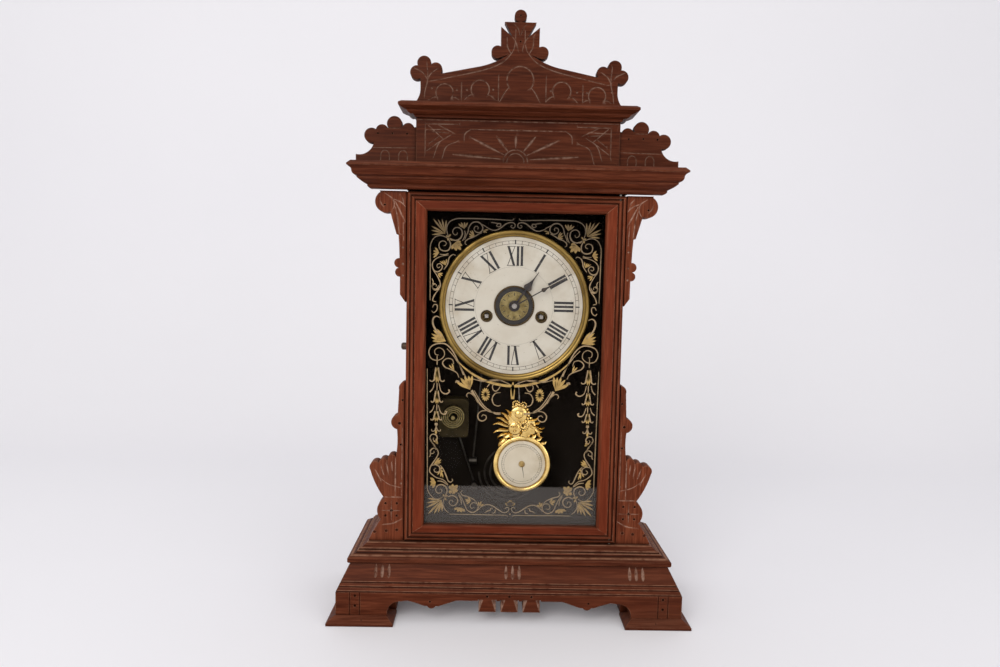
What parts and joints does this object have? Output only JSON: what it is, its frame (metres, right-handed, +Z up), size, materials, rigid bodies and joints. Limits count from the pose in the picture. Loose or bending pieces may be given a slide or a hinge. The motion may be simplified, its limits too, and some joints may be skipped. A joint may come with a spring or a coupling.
{
  "type": "gingerbread shelf clock",
  "caption": "Tall carved walnut shelf clock: a glazed door on pivot pins, round white dial, swinging brass bob, fretted crest and brackets, and a stepped base.",
  "frame": {"origin": "on the floor, under the middle of the base's footprint", "axes": "+X to the clock's right as the viewer sees it, +Y to the back, so the dial faces -Y, +Z up"},
  "size_m": [0.3614, 0.127, 0.61],
  "materials": {
    "walnut": "old satin varnish",
    "inner_wood": "dark, unpolished",
    "glass": "clear, with gilt line work",
    "brass": "aged satin",
    "steel": "dull",
    "blued_steel": "dark blued",
    "dark_metal": "darkened brass",
    "dial_white": "satin off-white",
    "bob_silver": "pale satin",
    "cast_iron": "black"
  },
  "bodies": {
    "case": {"foot_pads_front": "walnut", "foot_pads_back": "walnut", "skirt_front": "walnut", "skirt_left": "walnut", "skirt_right": "walnut", "glue_blocks": "inner_wood", "base_deck": "walnut", "case_side_left": "walnut", "case_side_right": "walnut", "top_board": "walnut", "back_board": "inner_wood", "cornice_front": "walnut", "cornice_left": "walnut", "cornice_right": "walnut", "frieze_front": "walnut", "frieze_sides": "walnut", "upper_cornice": "walnut", "crest_board": "walnut", "crest_wing_left": "walnut", "crest_wing_right": "walnut", "upper_bracket_left": "walnut", "upper_bracket_right": "walnut", "lower_bracket_left": "walnut", "lower_bracket_right": "walnut", "door_pivots": "steel", "dial_pan": "dial_white", "dial_bezel": "brass", "movement_plates": "brass", "movement_pillars": "brass", "mainsprings": "steel", "gong_block": "cast_iron", "gong_coil": "steel", "alarm_frame": "brass", "alarm_spring": "steel", "third_wheel": "brass", "escape_wheel": "brass", "strike_pin_wheel": "brass", "strike_fly": "brass"},
    "door": {"door_stile_left": "walnut", "door_stile_right": "walnut", "door_rail_top": "walnut", "door_rail_bottom": "walnut", "door_glass": "glass", "glass_beads": "walnut", "latch_staple": "brass"},
    "latch": {"door_latch": "dark_metal"},
    "pendulum": {"pendulum_rod": "steel", "bob_shell": "brass", "bob_face": "bob_silver", "bob_ornament": "brass", "verge": "steel"},
    "minute": {"minute_hand": "blued_steel", "centre_arbor": "brass"},
    "hour": {"hour_hand": "blued_steel"},
    "alarm_setting": {"alarm_disc": "brass"},
    "time_barrel": {"time_winding_arbor": "steel"},
    "strike_barrel": {"strike_winding_arbor": "steel"},
    "strike_hammer": {"strike_hammer": "steel"},
    "alarm_wheel": {"alarm_arbor": "brass"},
    "alarm_hammer": {"alarm_hammer": "steel"}
  },
  "joints": [
    {"name": "door_swing", "type": "hinge", "parent": "case", "child": "door", "pos_m": [0.103, -0.0244, 0.25], "axis": [0, 0, 1], "range_deg": [0, 110]},
    {"name": "latch_turn", "type": "hinge", "parent": "case", "child": "latch", "pos_m": [-0.105, -0.002, 0.272], "axis": [1, 0, 0], "range_deg": [0, 90]},
    {"name": "pendulum_swing", "type": "hinge", "parent": "case", "child": "pendulum", "pos_m": [0, 0.0063, 0.35], "axis": [0, 1, 0], "range_deg": [-1, 8]},
    {"name": "minute_turn", "type": "hinge", "parent": "case", "child": "minute", "pos_m": [0, 0.03, 0.3162], "axis": [0, 1, 0], "continuous": true},
    {"name": "hour_turn", "type": "hinge", "parent": "case", "child": "hour", "pos_m": [0, 0.002, 0.3162], "axis": [0, 1, 0], "continuous": true},
    {"name": "alarm_set", "type": "hinge", "parent": "hour", "child": "alarm_setting", "pos_m": [0, -0.007, 0.3162], "axis": [0, 1, 0], "continuous": true},
    {"name": "time_barrel_turn", "type": "hinge", "parent": "case", "child": "time_barrel", "pos_m": [0.0283, 0.03, 0.3052], "axis": [0, 1, 0], "continuous": true},
    {"name": "strike_barrel_turn", "type": "hinge", "parent": "case", "child": "strike_barrel", "pos_m": [-0.0283, 0.03, 0.3052], "axis": [0, 1, 0], "continuous": true},
    {"name": "strike_hammer_lift", "type": "hinge", "parent": "case", "child": "strike_hammer", "pos_m": [-0.03, 0.03, 0.276], "axis": [0, 1, 0], "range_deg": [0, 6]},
    {"name": "alarm_wheel_turn", "type": "hinge", "parent": "case", "child": "alarm_wheel", "pos_m": [-0.062, 0.02, 0.196], "axis": [0, 1, 0], "continuous": true},
    {"name": "alarm_hammer_rock", "type": "hinge", "parent": "case", "child": "alarm_hammer", "pos_m": [-0.062, 0.04, 0.181], "axis": [0, 1, 0], "range_deg": [-2.5, 0]}
  ],
  "couplings": [
    {"joint": "hour_turn", "follows": "minute_turn", "ratio": 0.083333}
  ]
}
